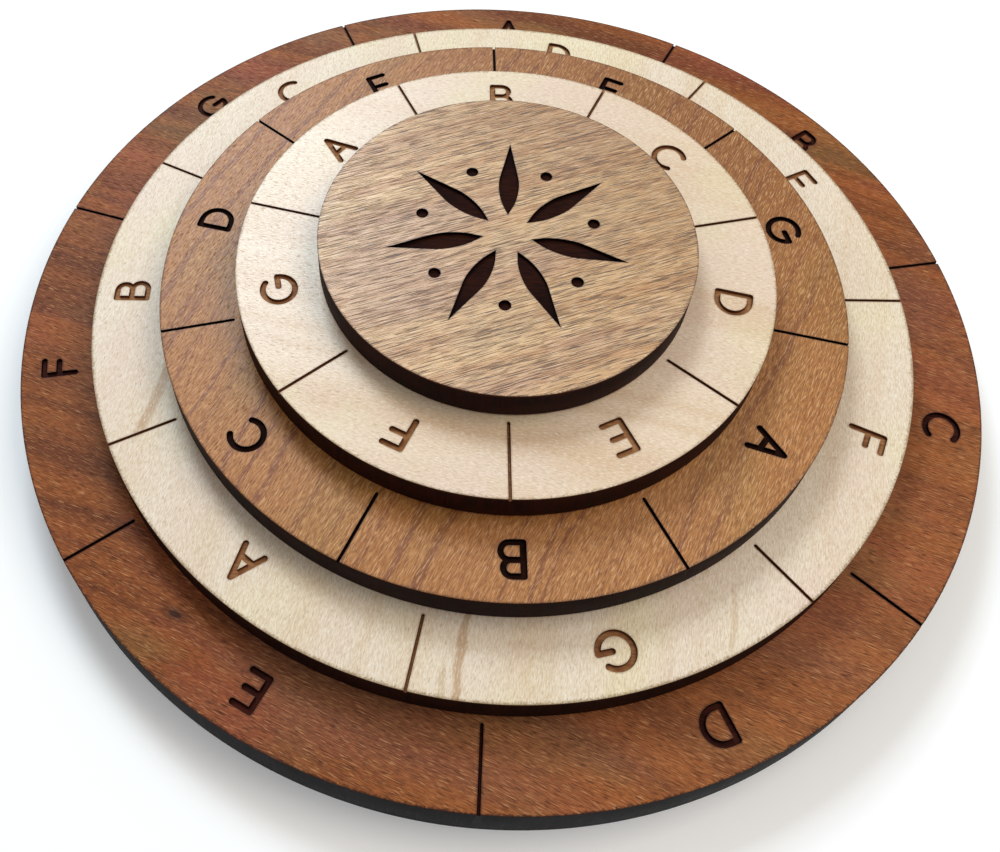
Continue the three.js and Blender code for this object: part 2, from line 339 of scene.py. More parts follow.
# %% The top and bottom of a board
def smoked(make, wood, place, colour):
    """Adds the halo round the engraving and the smoke stain along the rim."""
    edge = make.mark("edge_mm")
    soot = make.noise(place, (1.1, 1.1, 1.1), 3.0, 0.65, 3.0)
    halo = 1 - make.rise(edge + (0.5 - soot) * 0.5, 0.0, wood["halo_mm"])
    colour = make.mix(halo * wood["halo_share"], colour, tint(wood["smoke"]))
    x, y, _ = make.parts(make.node("TexCoord", {}, {}, "Object"))
    radius = (x * x + y * y) ** 0.5 * 1000
    inwards = wood["radius"] - radius
    speckle = make.noise(place, (3.2, 3.2, 3.2), 2.0, 0.6, 8.0)
    ragged = inwards + (0.5 - soot) * 0.6 + (0.5 - speckle) * 1.0
    stain = 1 - make.rise(ragged, 0.0, wood["stain_mm"])
    return make.mix(stain * wood["stain_share"], colour, tint(wood["stain"]))


def knot(make, wood, place, colour):
    """A dark pin knot with a brown halo, drawn out along the grain."""
    code, along_knot, across_knot, size = wood["knot"]
    along, across, _ = make.parts(place)
    offset = (along - along_knot) * 0.45
    span = (offset * offset + (across - across_knot) * (across - across_knot)) ** 0.5
    colour = make.mix((1 - make.rise(span, size, size * 2.5)) * 0.4, colour, tint(code))
    return make.mix((1 - make.rise(span, size * 0.5, size)) * 0.8, colour, tint(code))


def board(name, wood):
    """The finish of a board's faces."""
    make = Finish(name)
    place, colour, fibre, pore = grain(make, wood)
    if "knot" in wood:
        colour = knot(make, wood, place, colour)
    if wood["radius"]:
        colour = smoked(make, wood, place, colour)
    height = fibre * wood["fibre_deep"] - pore * wood["pore_deep"]
    roughness = wood["roughness"] + (fibre - 0.5) * 0.25 + pore * 0.15
    make.paint(colour, roughness, make.bump(height, 0.08, wood["relief"]))
    make.shader.inputs["Specular IOR Level"].default_value = wood["gloss"]
    print("board", name, len(make.tree.nodes), "nodes")
    return make.material


# %% [markdown]
# ## Charred edges
# The beam burns its way down through the board and leaves a nearly black wall, with fine
# upright striations and, where the air jet blew, a thin grey bloom of ash. On the first half
# millimetre below the top the wall is a little browner, because the beam widens there.

# %% The wall that the laser leaves
def charred(name, wall):
    """The finish of a cut edge. Heights are measured from the disc's upper face."""
    make = Finish(name)
    place = make.millimetres()
    _, _, up = make.parts(place)
    stripe = make.noise(place, (2.4, 2.4, 0.16), 3.0, 0.6)
    broad = make.noise(place, (0.10, 0.10, 0.25), 2.0, 0.5, 6.0)
    colour = make.mix(make.rise(stripe, 0.35, 0.70), tint(wall["dark"]), tint(wall["light"]))
    colour = make.mix(make.rise(broad, 0.42, 0.68) * wall["ash_share"], colour, tint(wall["ash"]))
    lip = 1 - make.rise(wall["top"] - up + (stripe - 0.5) * 0.3, 0.05, 0.45)
    colour = make.mix(lip * wall["lip_share"], colour, tint(wall["lip"]))
    height = stripe + broad * 0.5
    make.paint(colour, 0.5 + stripe * 0.3, make.bump(height, 0.12, 0.5))
    make.shader.inputs["Specular IOR Level"].default_value = wall["gloss"]
    return make.material


# %% [markdown]
# ## Engraved floors
# Engraving scans the beam back and forth, so the floor of a letter is ribbed with fine lines
# and toasted brown. It is darker within about 0.2 mm of the walls. The mesh carries edge_mm on
# the floor as well, so the dark border follows every letter's outline.

# %% The floor and walls of the engraving
def engraved(name, cut):
    make = Finish(name)
    place = make.millimetres((0, 0, cut["turn"]))
    edge = make.mark("edge_mm")
    streak = make.noise(place, (0.5, 3.0, 0.5), 3.0, 0.6, 1.0)
    cloud = make.noise(place, (0.22, 0.22, 0.22), 2.0, 0.5, 5.0)
    # The floor takes a darker colour within about 0.2 mm of the walls.
    middle = make.rise(edge + (streak - 0.5) * 0.10, 0.02, 0.20)
    toast = make.mix(make.rise(streak * 0.6 + cloud * 0.4, 0.35, 0.65), tint(cut["toast"]), tint(cut["pale"]))
    colour = make.mix(middle, tint(cut["wall_border"]), toast)
    ribs = make.noise(place, (0.05, 6.0, 0.05), 1.0, 0.5)
    make.paint(colour, 0.62 + streak * 0.2, make.bump(ribs + streak, 0.06, 0.5))
    make.shader.inputs["Specular IOR Level"].default_value = cut["gloss"]
    return make.material


# %% [markdown]
# ## Hand tools
# The pieces are modelled as by hand: a primitive is added at its size and place, and then it is
# shaped in edit mode. Blender's tools take points closer than a tenth of a millimetre for one
# point, so the work is done at a thousand times the size, with 1 unit for 1 mm, and each
# finished piece is shrunk.

# %% Adding and picking
def take(piece):
    """Makes one object the only selected one."""
    bpy.ops.object.select_all(action="DESELECT")
    piece.select_set(True)
    bpy.context.view_layer.objects.active = piece


def settle(piece):
    """Moves the object's place, turn and scale into its mesh."""
    take(piece)
    bpy.ops.object.transform_apply(location=True, rotation=True, scale=True)


def add(primitive, name, scale=(1, 1, 1), **settings):
    """A primitive at its size and place, with nothing else selected."""
    bpy.ops.object.select_all(action="DESELECT")
    primitive(**settings)
    piece = bpy.context.object
    piece.name = name
    piece.scale = scale
    settle(piece)
    return piece


def pick(piece, kind, test):
    """Opens edit mode with only those faces or edges selected that pass a test."""
    take(piece)
    bpy.ops.object.mode_set(mode="EDIT")
    bpy.ops.mesh.select_mode(type=kind)
    bpy.ops.mesh.select_all(action="DESELECT")
    mesh = bmesh.from_edit_mesh(piece.data)
    for item in mesh.faces if kind == "FACE" else mesh.edges:
        if test(item):
            item.select_set(True)
    mesh.select_flush_mode()
    bmesh.update_edit_mesh(piece.data)


def leave():
    bpy.ops.object.mode_set(mode="OBJECT")


def push(rise):
    """Extrudes the picked faces straight up or down."""
    bpy.ops.mesh.extrude_region_move(TRANSFORM_OT_translate={"value": (0, 0, rise)})


def carve(piece, other, operation="DIFFERENCE"):
    """Cuts one solid out of another, or joins them, and removes the tool."""
    take(piece)
    modifier = piece.modifiers.new("carve", "BOOLEAN")
    modifier.operation = operation
    modifier.solver = "EXACT"
    modifier.object = other
    bpy.ops.object.modifier_apply(modifier=modifier.name)
    bpy.data.objects.remove(other)


def cylinder(name, radius, low, high, points=128, place=(0, 0)):
    """An upright cylinder between two heights."""
    return add(
        bpy.ops.mesh.primitive_cylinder_add, name, vertices=points, radius=radius,
        depth=high - low, location=(*place, (low + high) / 2),
    )


def join(pieces):
    """Puts several meshes into one object."""
    bpy.ops.object.select_all(action="DESELECT")
    for piece in pieces:
        piece.select_set(True)
    bpy.context.view_layer.objects.active = pieces[0]
    bpy.ops.object.join()
    return pieces[0]


# %% Faces and edges that are picked again and again
MANY_CORNERS = 100
HAIR = 0.01


def round_face(face):
    """A flat round face: no other kind has so many corners."""
    return len(face.verts) > MANY_CORNERS


def round_top(face):
    return round_face(face) and face.normal.z > 0.9


def round_underside(face):
    return round_face(face) and face.normal.z < -0.9


def level_edge(edge):
    """An edge that lies flat, such as those round a rim."""
    return abs(edge.verts[0].co.z - edge.verts[1].co.z) < HAIR


# %% Sizes from the frame
def corners(node):
    """The lowest and highest corner of a CAD piece, in mm."""
    low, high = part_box(node)
    return Vector(low) / MM, Vector(high) / MM


def outline_radius(node):
    low, high = corners(node)
    return (high.x - low.x) / 2


ENGRAVE_DEPTH = 0.5
CLEARANCE = 0.25
POST_RADIUS = outline_radius("hub_post")
BORE_RADIUS = POST_RADIUS + CLEARANCE
RECESS_RADIUS = outline_radius("slip_washer_outer") + 0.4
SHANK = 2.1
HEAD_DEPTH = 2.4
DISCS = ("base_disc", "outer_wheel", "middle_wheel", "inner_wheel", "cap_disc")
RADII = {node: outline_radius(node) for node in DISCS}
print("disc radii in mm:", {node: round(radius, 2) for node, radius in RADII.items()})

# %% [markdown]
# ## A blank disc
# A disc starts as a cylinder with many sides. Its two rims get a tiny rounding, since even a
# laser-cut edge is a little blunt and catches light. The upper face is then inset ring by ring.
# The rings don't change its shape, but they give the face a fine net of points, and those carry
# the scorch marks later. The hole is made by insetting both faces down to small circles and
# bridging them.

# %% A disc before engraving
RIM_POINTS = 504
EDGE_ROUND = 0.07
RIM_BORDER = 0.25
NET_STEP = 0.7
NET_UNDER = 1.4


def blank(name, node, net_to):
    """A solid disc with rounded rims and a net of points from its rim in to a radius."""
    low, high = corners(node)
    disc = cylinder(name, RADII[node], low.z, high.z, RIM_POINTS)
    pick(disc, "EDGE", level_edge)
    bpy.ops.mesh.bevel(offset=EDGE_ROUND, segments=2, affect="EDGES")
    leave()
    pick(disc, "FACE", round_top)
    bpy.ops.mesh.inset(thickness=RIM_BORDER)
    reach = RADII[node] - EDGE_ROUND - RIM_BORDER
    rings = math.ceil((reach - net_to) / NET_STEP)
    for _ in range(rings):
        bpy.ops.mesh.inset(thickness=(reach - net_to) / rings)
    return disc


def bore_wheel(disc, net_to):
    """Sinks the washer's recess and opens the hole for the post."""
    bpy.ops.mesh.inset(thickness=net_to - RECESS_RADIUS)
    push(-ENGRAVE_DEPTH)
    bpy.ops.mesh.inset(thickness=RECESS_RADIUS - BORE_RADIUS)
    leave()
    pick(disc, "FACE", round_underside)
    bpy.ops.mesh.inset(thickness=disc.dimensions.x / 2 - EDGE_ROUND - BORE_RADIUS)
    leave()
    pick(disc, "FACE", round_face)
    bpy.ops.mesh.bridge_edge_loops()
    leave()


# %% [markdown]
# ## Letters
# Each letter is drawn with a round-ended stroke of one width. A straight stroke is a box whose
# four upright edges are beveled until its ends are half circles. A curved one is a small
# upright plane spun about the arc's centre, with a cylinder at each free end. The strokes of a
# letter are joined into one solid, so that its pocket has one clean outline. Each next stroke is
# a hair thinner, because two walls in just the same plane would confuse the joining. The
# underside of each stroke is inset first: it becomes the pocket's floor, and the inset gives
# that floor the points that its dark border needs.

# %% Strokes
LETTER_HEIGHT = 5.6
STROKE = 0.9
THINNER = 0.012
CUTTER_TOP = 1.0
FLOOR_BORDER = 0.15
BOW_STEP = 8


def border_floor(solid):
    """Insets the underside of a cutter, which becomes the floor of its pocket."""
    pick(solid, "FACE", lambda face: face.normal.z < -0.9)
    bpy.ops.mesh.inset(thickness=FLOOR_BORDER, use_even_offset=False)
    leave()


def bar(first, last, width):
    """A straight stroke between two points."""
    run = Vector(last) - Vector(first)
    middle = (Vector(first) + Vector(last)) / 2
    stroke = add(
        bpy.ops.mesh.primitive_cube_add, "bar", size=1,
        scale=(run.length + width, width, ENGRAVE_DEPTH + CUTTER_TOP),
        location=(middle.x, middle.y, (CUTTER_TOP - ENGRAVE_DEPTH) / 2),
        rotation=(0, 0, math.atan2(run.y, run.x)),
    )
    pick(stroke, "EDGE", lambda edge: abs(edge.verts[0].co.z - edge.verts[1].co.z) > 1)
    bpy.ops.mesh.bevel(offset=width * 0.499, segments=8, affect="EDGES")
    bpy.ops.mesh.select_all(action="SELECT")
    bpy.ops.mesh.remove_doubles(threshold=0.01)
    leave()
    border_floor(stroke)
    return stroke


def dot(place, radius, points=28):
    """A round pocket, or the end of a curved stroke."""
    solid = cylinder("dot", radius, -ENGRAVE_DEPTH, CUTTER_TOP, points, place)
    border_floor(solid)
    return solid


def bow(centre, radius, start, end, width, rounded):
    """A curved stroke from one angle to another, with the first ends of it rounded."""
    angle = math.radians(start)
    ends = [
        (centre[0] + radius * math.cos(a), centre[1] + radius * math.sin(a))
        for a in (angle, math.radians(end))
    ]
    stroke = add(
        bpy.ops.mesh.primitive_plane_add, "bow", size=1,
        scale=(width, ENGRAVE_DEPTH + CUTTER_TOP, 1),
        location=(*ends[0], (CUTTER_TOP - ENGRAVE_DEPTH) / 2), rotation=(math.pi / 2, 0, angle),
    )
    take(stroke)
    bpy.ops.object.mode_set(mode="EDIT")
    bpy.ops.mesh.select_all(action="SELECT")
    outwards = Vector((math.cos(angle), math.sin(angle), 0))
    for side in (-1, 1):
        place = Vector((*ends[0], 0)) + outwards * side * (width / 2 - FLOOR_BORDER)
        bpy.ops.mesh.bisect(plane_co=place, plane_no=outwards)
        bpy.ops.mesh.select_all(action="SELECT")
    steps = math.ceil((end - start) / BOW_STEP)
    turn = -math.radians(end - start)
    bpy.ops.mesh.spin(steps=steps, angle=turn, center=(*centre, 0), axis=(0, 0, 1))
    bpy.ops.mesh.select_all(action="SELECT")
    bpy.ops.mesh.normals_make_consistent(inside=False)
    leave()
    for place in ends[:rounded]:
        carve(stroke, dot(place, width / 2), "UNION")
    return stroke


# %% The letters A to G
# In shares of a letter's height: a line's two ends, and a bow's centre, radius, start and end in
# degrees, and how many of its ends are round.
LINES = {
    "A": [(-0.37, -0.5, 0, 0.5), (0, 0.5, 0.37, -0.5), (-0.24, -0.16, 0.24, -0.16)],
    "B": [(-0.3, -0.5, -0.3, 0.5), (-0.3, 0.5, 0.03, 0.5), (-0.3, 0.02, 0.07, 0.02),
          (-0.3, -0.5, 0.07, -0.5)],
    "C": [],
    "D": [(-0.35, -0.5, -0.35, 0.5), (-0.35, 0.5, -0.1, 0.5), (-0.35, -0.5, -0.1, -0.5)],
    "E": [(-0.3, -0.5, -0.3, 0.5), (-0.3, 0.5, 0.27, 0.5), (-0.3, 0, 0.2, 0), (-0.3, -0.5, 0.27, -0.5)],
    "F": [(-0.3, -0.5, -0.3, 0.5), (-0.3, 0.5, 0.27, 0.5), (-0.3, 0.02, 0.2, 0.02)],
    "G": [(0.5, 0, 0.1, 0)],
}
BOWS = {
    "B": [(0.03, 0.26, 0.24, -90, 90, 0), (0.07, -0.24, 0.26, -90, 90, 0)],
    "C": [(0.06, 0, 0.5, 50, 310, 2)],
    "D": [(-0.1, 0, 0.5, -90, 90, 0)],
    "G": [(0, 0, 0.5, 50, 360, 1)],
}


def letter_solid(name):
    """One letter, standing upright at the origin."""
    size = LETTER_HEIGHT - STROKE
    strokes = []
    width = STROKE
    for a, b, c, d in LINES[name]:
        strokes.append(bar((a * size, b * size), (c * size, d * size), width))
        width = width - THINNER
    for x, y, radius, start, end, rounded in BOWS.get(name, []):
        strokes.append(bow((x * size, y * size), radius * size, start, end, width, rounded))
        width = width - THINNER
    for other in strokes[1:]:
        carve(strokes[0], other, "UNION")
    strokes[0].name = "letter_" + name
    return strokes[0]


ALPHABET = "ABCDEFG"
letters = {name: letter_solid(name) for name in ALPHABET}
print("letter points:", {name: len(solid.data.vertices) for name, solid in letters.items()})

# %% [markdown]
# ## Engraving a ring
# A ring has seven fields, with a thin line between each two and a letter in the middle of each,
# its top outwards. The letter solids are copied, moved out to the ring and turned into place,
# then all of them are joined and cut out of the disc in one step.
#
# The net of points is made finer near each cut first, so the scorch marks come out crisp.

# %% Placing the cutters
FIELDS = 7
DIVIDER_WIDTH = 0.46
DIVIDER_GAP = 0.9
FINE_REACH = 0.75


def placed(solid, radius, turn, height):
    """One more solid of that shape, moved out from the middle and turned round it."""
    copy = solid.copy()
    copy.data = solid.data.copy()
    bpy.context.collection.objects.link(copy)
    out = Matrix.Translation((0, radius, height))
    copy.matrix_world = Matrix.Rotation(turn, 4, "Z") @ out
    settle(copy)
    return copy


def ring_marks(radius, covered, turn_degrees, first):
    """What a ring's letters and lines are, and where: (solid, distance out, turn)."""
    marks = []
    line = bar((0, covered + DIVIDER_GAP + DIVIDER_WIDTH / 2), (0, radius + 1), DIVIDER_WIDTH)
    for i in range(FIELDS):
        turn = math.radians(turn_degrees - i * 360 / FIELDS)
        letter = letters[ALPHABET[(ALPHABET.index(first) + i) % FIELDS]]
        marks.append((letter, (radius + covered) / 2, turn))
        marks.append((line, 0, turn + math.pi / FIELDS))
    return marks


# %% Measuring distances as seen from above
def samples(a, b, gap):
    """Points from one end of an edge to the other, at most a gap apart."""
    count = max(1, math.ceil((b - a).xy.length / gap))
    return [a.lerp(b, k / count) for k in range(count + 1)]


def search_tree(points):
    """Finds the nearest of many points."""
    tree = KDTree(len(points))
    for i, point in enumerate(points):
        tree.insert((point.x, point.y, 0), i)
    tree.balance()
    return tree


def refine(disc, top, marks):
    """Makes the net finer close to the cuts."""
    points = []
    for solid, out, turn in marks:
        place = Matrix.Rotation(turn, 4, "Z") @ Matrix.Translation((0, out, 0))
        for edge in solid.data.edges:
            a, b = (place @ solid.data.vertices[i].co for i in edge.vertices)
            points += samples(a, b, 0.5)
    tree = search_tree(points)

    def near(face):
        middle = face.calc_center_median()
        flat = abs(middle.z - top) < 0.001 and len(face.verts) <= 4
        return flat and tree.find((middle.x, middle.y, 0))[2] < FINE_REACH

    pick(disc, "FACE", near)
    bpy.ops.mesh.subdivide(number_cuts=2)
    leave()


# %% Cutting and measuring the scorch
RECESS_MARGIN = 0.2
RIM_MARGIN = 0.1
DRILLED_RADIUS = outline_radius("hub_screw") + 0.3
FAR = 3.0


def engrave(disc, top, marks, inside=RECESS_RADIUS + RECESS_MARGIN):
    """Cuts all marks into the upper face and sorts the faces by finish: 0, 1 and 2."""
    refine(disc, top, marks)
    tools = [placed(solid, out, turn, top) for solid, out, turn in marks]
    tool = join(tools)
    carve(disc, tool)
    sort_faces(disc, top, inside)
    measure_scorch(disc, top)


def sort_faces(disc, top, inside):
    """0 is the board, 1 a charred edge, and 2 the engraving. A drilled hole is bare wood."""
    rim = max(vert.co.xy.length for vert in disc.data.vertices) - RIM_MARGIN
    for face in disc.data.polygons:
        low = min(disc.data.vertices[i].co.z for i in face.vertices)
        radius = face.center.xy.length
        between = top - ENGRAVE_DEPTH - HAIR < low and face.center.z < top - HAIR
        if between and inside < radius < rim:
            face.material_index = 2
        elif abs(face.normal.z) < 0.8 and radius > DRILLED_RADIUS:
            face.material_index = 1
        else:
            face.material_index = 0


def measure_scorch(disc, top):
    """Writes edge_mm: how far each point of the upper face or the engraving is from a cut."""
    mesh = bmesh.new()
    mesh.from_mesh(disc.data)
    points = []
    for edge in mesh.edges:
        kinds = {face.material_index for face in edge.link_faces}
        if kinds == {0, 2}:
            points += samples(edge.verts[0].co, edge.verts[1].co, 0.1)
    tree = search_tree(points)
    distances = []
    for vert in mesh.verts:
        near_top = vert.co.z > top - ENGRAVE_DEPTH - HAIR
        gap = tree.find((vert.co.x, vert.co.y, 0))[2] if near_top else FAR
        distances.append(min(FAR, gap))
    mesh.free()
    mark = disc.data.attributes.new("edge_mm", "FLOAT", "POINT")
    mark.data.foreach_set("value", distances)
    print(disc.name, len(distances), "points,", len(points), "samples of the cuts' outline")


# %% [markdown]
# ## Handing a piece over
# A finished piece is shrunk to metres, given its finishes, and tied to the body that carries it.
# The CAD piece that it stands for is hidden.

# %% Finishing a piece
SMOOTH_BELOW = math.radians(50)


def hand_over(piece, node, body, finishes):
    piece.scale = (MM, MM, MM)
    settle(piece)
    bpy.ops.object.shade_smooth_by_angle(angle=SMOOTH_BELOW)
    for finish in finishes:
        piece.data.materials.append(finish)
    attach(piece, body)
    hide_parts(node)
    print(piece.name, len(piece.data.polygons), "faces on", body)


# %% [markdown]
# ## The base
# The widest and thickest disc, of reddish brown wood with short shiny flecks and one pin knot.
# Its upper face has a ring of letters, a shallow recess for the first washer and a seat that the
# post is glued into. From below, a countersunk hole takes the screw. A cone is an inset with a depth: the new
# circle is smaller and lies deeper.

# %% The base's wood
WALNUT = {
    "turn": -20, "seed": 3.0, "radius": RADII["base_disc"], "wander": 14, "ripple": 2.5, "bow": 0.0008,
    "rings_per_mm": 0.16, "ring_edge": (0.36, 0.66), "early": "9e5726", "late": "6f3717",
    "patches": [("a4503a", (0.03, 0.06, 0.05), 0.55, 0.50, 0.72),
                ("8d6b3c", (0.05, 0.09, 0.05), 0.45, 0.52, 0.70),
                ("74493f", (0.02, 0.05, 0.05), 0.50, 0.50, 0.68)],
    # Painted light: the side tint on the next line makes the base lighter towards its front right.
    "streaks": [], "knot": ("2a120a", -21.1, -64.1, 0.55), "painted_light_and_shade": ("b8703f", -50, 20, 80, 0.32),
    "fibre": (0.8, 7.0, 7.0), "dark": "5c331d", "light": "b87c4c", "fibre_dark": 0.6, "fibre_light": 0.35,
    "pore": (0.5, 6.5, 6.5), "pore_edge": 0.66, "pore_share": 0.6, "pore_tint": "3f2217",
    "halo_mm": 0.30, "halo_share": 0.6, "smoke": "3a2016", "stain_mm": 0.35, "stain_share": 0.8,
    "fibre_deep": 0.9, "pore_deep": 0.8, "relief": 0.35, "roughness": 0.48, "gloss": 0.15,
    "fleck": ((0.48, 7.0, 7.0), 0.60, 0.6, "cc9464"),
    "stain": "3a2016",
}
BASE_WALL = {
    "dark": "0a0a0b", "light": "18181b", "ash": "26262c", "ash_share": 0.5, "lip": "2a0a08",
    "lip_share": 0.8, "top": corners("base_disc")[1].z, "gloss": 0.08,
}
BASE_CUT = {"turn": 0, "toast": "2a0d08", "pale": "431910", "wall_border": "160605", "gloss": 0.08}
base_finishes = [
    board("walnut_board", WALNUT), charred("walnut_edge", BASE_WALL),
    engraved("walnut_engraving", BASE_CUT),
]

# %% The base, top side
HEAD_SINK = 0.3
HEAD_RADIUS = outline_radius("hub_screw") + CLEARANCE
SHANK_RADIUS = SHANK + CLEARANCE
base_low, base_high = corners("base_disc")
seat_depth = base_high.z - corners("hub_post")[0].z + CLEARANCE - ENGRAVE_DEPTH
net_edge = RADII["outer_wheel"] - NET_UNDER

base = blank("engraved_base", "base_disc", net_edge)
bpy.ops.mesh.inset(thickness=net_edge - RECESS_RADIUS)
push(-ENGRAVE_DEPTH)
bpy.ops.mesh.inset(thickness=RECESS_RADIUS - BORE_RADIUS)
push(-seat_depth)
bpy.ops.mesh.inset(thickness=BORE_RADIUS - SHANK_RADIUS)
leave()

# %% The base, underside
pick(base, "FACE", round_underside)
bpy.ops.mesh.inset(thickness=RADII["base_disc"] - EDGE_ROUND - HEAD_RADIUS)
push(HEAD_SINK)
bpy.ops.mesh.inset(thickness=HEAD_RADIUS - SHANK_RADIUS, depth=-HEAD_DEPTH)
leave()
pick(base, "FACE", round_face)
bpy.ops.mesh.bridge_edge_loops()
leave()

base_marks = ring_marks(RADII["base_disc"], RADII["outer_wheel"], 0, "A")
engrave(base, base_high.z, base_marks)
hand_over(base, "base_disc", "base", base_finishes)

# %% [markdown]
# ## The three wheels
# Each wheel is a blank with a bore and a recess for the washer above it. They lie at the turns
# that the cryptex is usually left in, which is why their letters don't line up.
#
# The outer and the inner wheel are maple, pale and fine-grained, with a few tan mineral streaks.
# The middle one is cherry, an orange brown wood with small bright dashes across the light.

# %% Woods of the wheels
OUTER_MAPLE = {
    "turn": 81, "seed": 8.0, "radius": RADII["outer_wheel"], "wander": 10, "ripple": 2.0, "bow": 0.0006,
    "rings_per_mm": 0.07, "ring_edge": (0.40, 0.70), "early": "eedcc6", "late": "e6cdb0",
    "patches": [("efe2b6", (0.04, 0.05, 0.05), 0.6, 0.46, 0.68),
                ("ecd0c0", (0.03, 0.07, 0.05), 0.55, 0.48, 0.70)],
    "streaks": [("bd946c", -5.9, 0.7, -75, -49, 0.8), ("cdb087", -4.2, 0.6, -75, -57, 0.6),
                ("b98c60", 45.9, 1.1, -38, -22, 0.7), ("d2b690", -39.2, 0.6, -50, -39, 0.6)],
    "fibre": (1.3, 7.0, 7.0), "dark": "c2a47c", "light": "faf0e0", "fibre_dark": 0.42, "fibre_light": 0.45,
    "pore": (1.2, 3.6, 3.6), "pore_edge": 0.70, "pore_share": 0.35, "pore_tint": "b79c78",
    "halo_mm": 0.28, "halo_share": 0.35, "smoke": "6a4a26", "stain_mm": 0.55, "stain_share": 0.7,
    "fibre_deep": 0.8, "pore_deep": 0.4, "relief": 0.3, "roughness": 0.42, "gloss": 0.35,
    "fleck": ((1.3, 7.0, 7.0), 0.60, 0.35, "fffaf0"),
    "stain": "80602c",
}
OUTER_WALL = {
    "dark": "100402", "light": "260b06", "ash": "2a1008", "ash_share": 0.4, "lip": "40240d",
    "lip_share": 0.85, "top": corners("outer_wheel")[1].z, "gloss": 0.08,
}
MAPLE_CUT = {"turn": 0, "toast": "875330", "pale": "ab7a4e", "wall_border": "6a3d1f", "gloss": 0.2}
CHERRY = {
    "turn": 66, "seed": 15.0, "radius": RADII["middle_wheel"], "wander": 12, "ripple": 3.0, "bow": 0.0012,
    "rings_per_mm": 0.42, "ring_edge": (0.53, 0.64), "early": "b27332", "late": "8a4c1d",
    "patches": [("a87a34", (0.03, 0.07, 0.05), 0.55, 0.50, 0.72),
                ("a0603c", (0.03, 0.05, 0.05), 0.35, 0.50, 0.75)],
    # Painted shade: the side tint on the next line makes the cherry darker towards its back right.
    "streaks": [], "painted_light_and_shade": ("74441a", 50, 5, 60, 0.55),
    "fibre": (0.7, 5.5, 5.5), "dark": "7e4826", "light": "d79f6a", "fibre_dark": 0.6, "fibre_light": 0.6,
    "pore": (1.1, 6.0, 6.0), "pore_edge": 0.67, "pore_share": 0.5, "pore_tint": "6a3a20",
    "halo_mm": 0.22, "halo_share": 0.5, "smoke": "3c1e10", "stain_mm": 0.35, "stain_share": 0.6,
    "fibre_deep": 0.9, "pore_deep": 0.6, "relief": 0.35, "roughness": 0.44, "gloss": 0.45,
    "fleck": ((0.6, 6.0, 6.0), 0.58, 0.5, "e2b07c"),
    "stain": "3c1e10",
}
CHERRY_WALL = {
    "dark": "0d0404", "light": "200b09", "ash": "281110", "ash_share": 0.5, "lip": "2c110a",
    "lip_share": 0.7, "top": corners("middle_wheel")[1].z, "gloss": 0.08,
}
CHERRY_CUT = {"turn": 0, "toast": "160704", "pale": "281009", "wall_border": "0c0403", "gloss": 0.05}
INNER_MAPLE = dict(
    OUTER_MAPLE, turn=-11, seed=21.0, radius=RADII["inner_wheel"], early="edd3b6", late="debb96",
    gloss=0.8, roughness=0.38,
    patches=[("ecd2c0", (0.03, 0.06, 0.05), 0.6, 0.46, 0.68),
             ("eadcae", (0.05, 0.05, 0.05), 0.45, 0.52, 0.70)],
    streaks=[], stain_mm=0.4, stain_share=0.6,
)
INNER_WALL = dict(OUTER_WALL, top=corners("inner_wheel")[1].z, light="2c0a04", ash="341006")

# %% The wheels themselves
def wheel(name, node, body, slot, covered, turn, first, finishes):
    """A bored and engraved wheel."""
    net_to = covered - NET_UNDER
    disc = blank(name, node, net_to)
    bore_wheel(disc, net_to)
    marks = ring_marks(RADII[node], covered, turn, first)
    engrave(disc, corners(node)[1].z, marks)
    hand_over(disc, node, body, finishes)


maple_cut = engraved("maple_engraving", MAPLE_CUT)
outer_finishes = [board("outer_maple", OUTER_MAPLE), charred("outer_edge", OUTER_WALL), maple_cut]
middle_finishes = [
    board("cherry", CHERRY), charred("cherry_edge", CHERRY_WALL),
    engraved("cherry_engraving", CHERRY_CUT),
]
inner_finishes = [board("inner_maple", INNER_MAPLE), charred("inner_edge", INNER_WALL), maple_cut]
# name, CAD node, body, slot, radius that the next disc covers, turn in degrees, first letter
WHEELS = (
    ("outer_letter_wheel", "outer_wheel", "outer_ring", "maple", RADII["middle_wheel"], -9.1, "D"),
    ("middle_letter_wheel", "middle_wheel", "middle_ring", "cherry", RADII["inner_wheel"], -22.4, "F"),
    ("inner_letter_wheel", "inner_wheel", "inner_ring", "maple", RADII["cap_disc"], 2.6, "B"),
)
for settings, finishes in zip(WHEELS, (outer_finishes, middle_finishes, inner_finishes)):
    wheel(*settings, finishes)

# %% [markdown]
# ## The cap
# The top disc is glued to the post and doesn't turn. It is light walnut, an open-grained wood
# whose pores are long and dark. A rosette of seven petals and seven dots is engraved on it, one
# petal for each field.
#
# A petal starts as a four-sided cylinder. Two of its corners are moved to the waist, and their
# upright edges are beveled until its sides are round.

